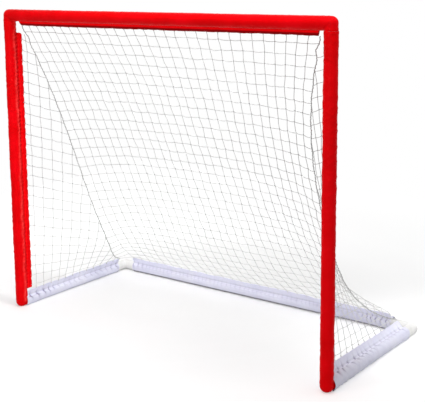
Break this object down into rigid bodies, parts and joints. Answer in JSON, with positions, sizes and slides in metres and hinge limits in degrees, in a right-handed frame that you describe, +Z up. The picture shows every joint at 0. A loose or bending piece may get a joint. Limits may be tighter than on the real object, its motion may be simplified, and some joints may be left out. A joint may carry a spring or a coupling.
{
  "type": "street hockey goal",
  "caption": "Free-standing hockey goal: a push-fit tube frame in red and white fabric sleeves, with a slanted knotted net that catches the ball or puck.",
  "frame": {"origin": "on the floor, midway between the posts and under the middle of the goal's depth", "axes": "+X runs across the mouth to the right as seen by a shooter who faces the goal, +Y from the mouth to the back, +Z up"},
  "size_m": [1.372, 0.63, 1.1179],
  "materials": {
    "pvc": "extruded white PVC tube and moulded PVC fittings, satin",
    "red_nylon": "coated red nylon cloth with a soft sheen, sewn along its edge",
    "white_nylon": "white nylon cloth, faintly lilac in shade, gathered and wrinkled",
    "net_cord": "knotted white polyester netting cord",
    "seam_cord": "thick white polyester cord laced along the net's seams"
  },
  "bodies": {
    "root": {"back_net_panel": "net_cord", "crossbar_sleeve": "red_nylon", "rear_bar_sleeve": "white_nylon", "crossbar_tube_left": "pvc", "crossbar_tube_right": "pvc", "crossbar_coupler": "pvc", "rear_bar_tube_left": "pvc", "rear_bar_tube_right": "pvc", "rear_bar_coupler": "pvc", "left_side_net_panel": "net_cord", "left_seam_cord": "seam_cord", "left_post_sleeve": "red_nylon", "left_side_bar_sleeve": "white_nylon", "left_post_tube_lower": "pvc", "left_post_tube_upper": "pvc", "left_post_coupler": "pvc", "left_side_bar_tube": "pvc", "left_top_elbow": "pvc", "left_front_elbow": "pvc", "left_rear_elbow": "pvc", "right_side_net_panel": "net_cord", "right_seam_cord": "seam_cord", "right_post_sleeve": "red_nylon", "right_side_bar_sleeve": "white_nylon", "right_post_tube_lower": "pvc", "right_post_tube_upper": "pvc", "right_post_coupler": "pvc", "right_side_bar_tube": "pvc", "right_top_elbow": "pvc", "right_front_elbow": "pvc", "right_rear_elbow": "pvc"}
  },
  "joints": []
}
